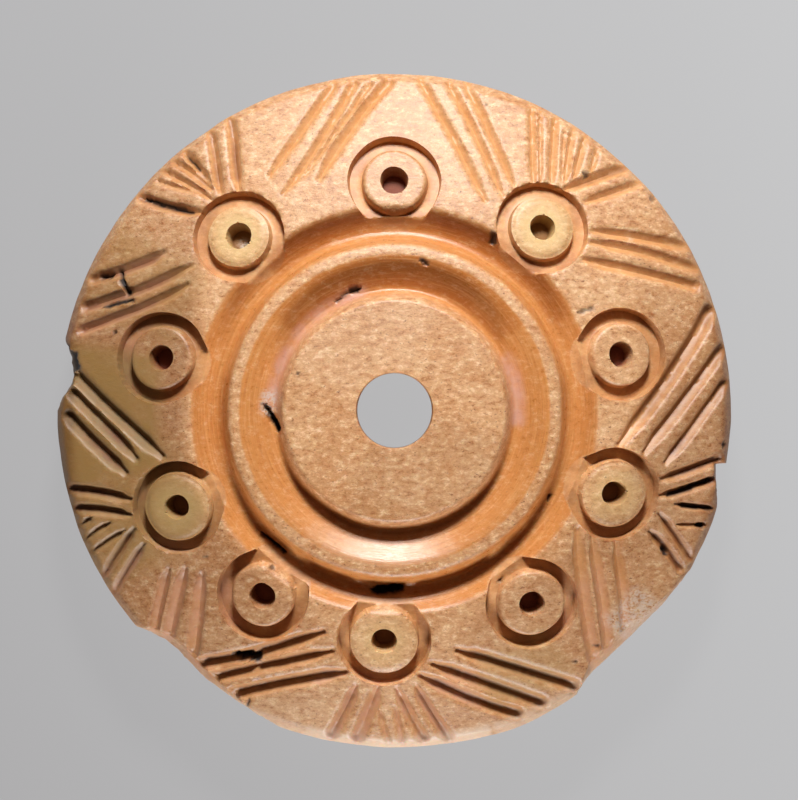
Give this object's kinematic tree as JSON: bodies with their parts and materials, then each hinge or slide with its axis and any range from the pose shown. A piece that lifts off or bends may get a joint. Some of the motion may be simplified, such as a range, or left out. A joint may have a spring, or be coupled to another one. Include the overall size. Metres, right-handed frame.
{
  "type": "bone spindle whorl",
  "caption": "Domed disc of carved bone with a central spindle hole, turned grooves and a band of ring-and-dot eyes; weights a hand spindle so that it keeps turning.",
  "frame": {"origin": "on the axis of the spindle hole, in the plane of the flat underside", "axes": "+Z along the spindle hole, from the underside up through the carved, domed face; +X and +Y lie in the underside, +Y to the small opaque eye whose socket just reaches the outer groove between two runs of long strokes"},
  "size_m": [0.036, 0.036, 0.009],
  "materials": {
    "bone": null
  },
  "bodies": {
    "root": {"whorl": "bone"}
  },
  "joints": []
}
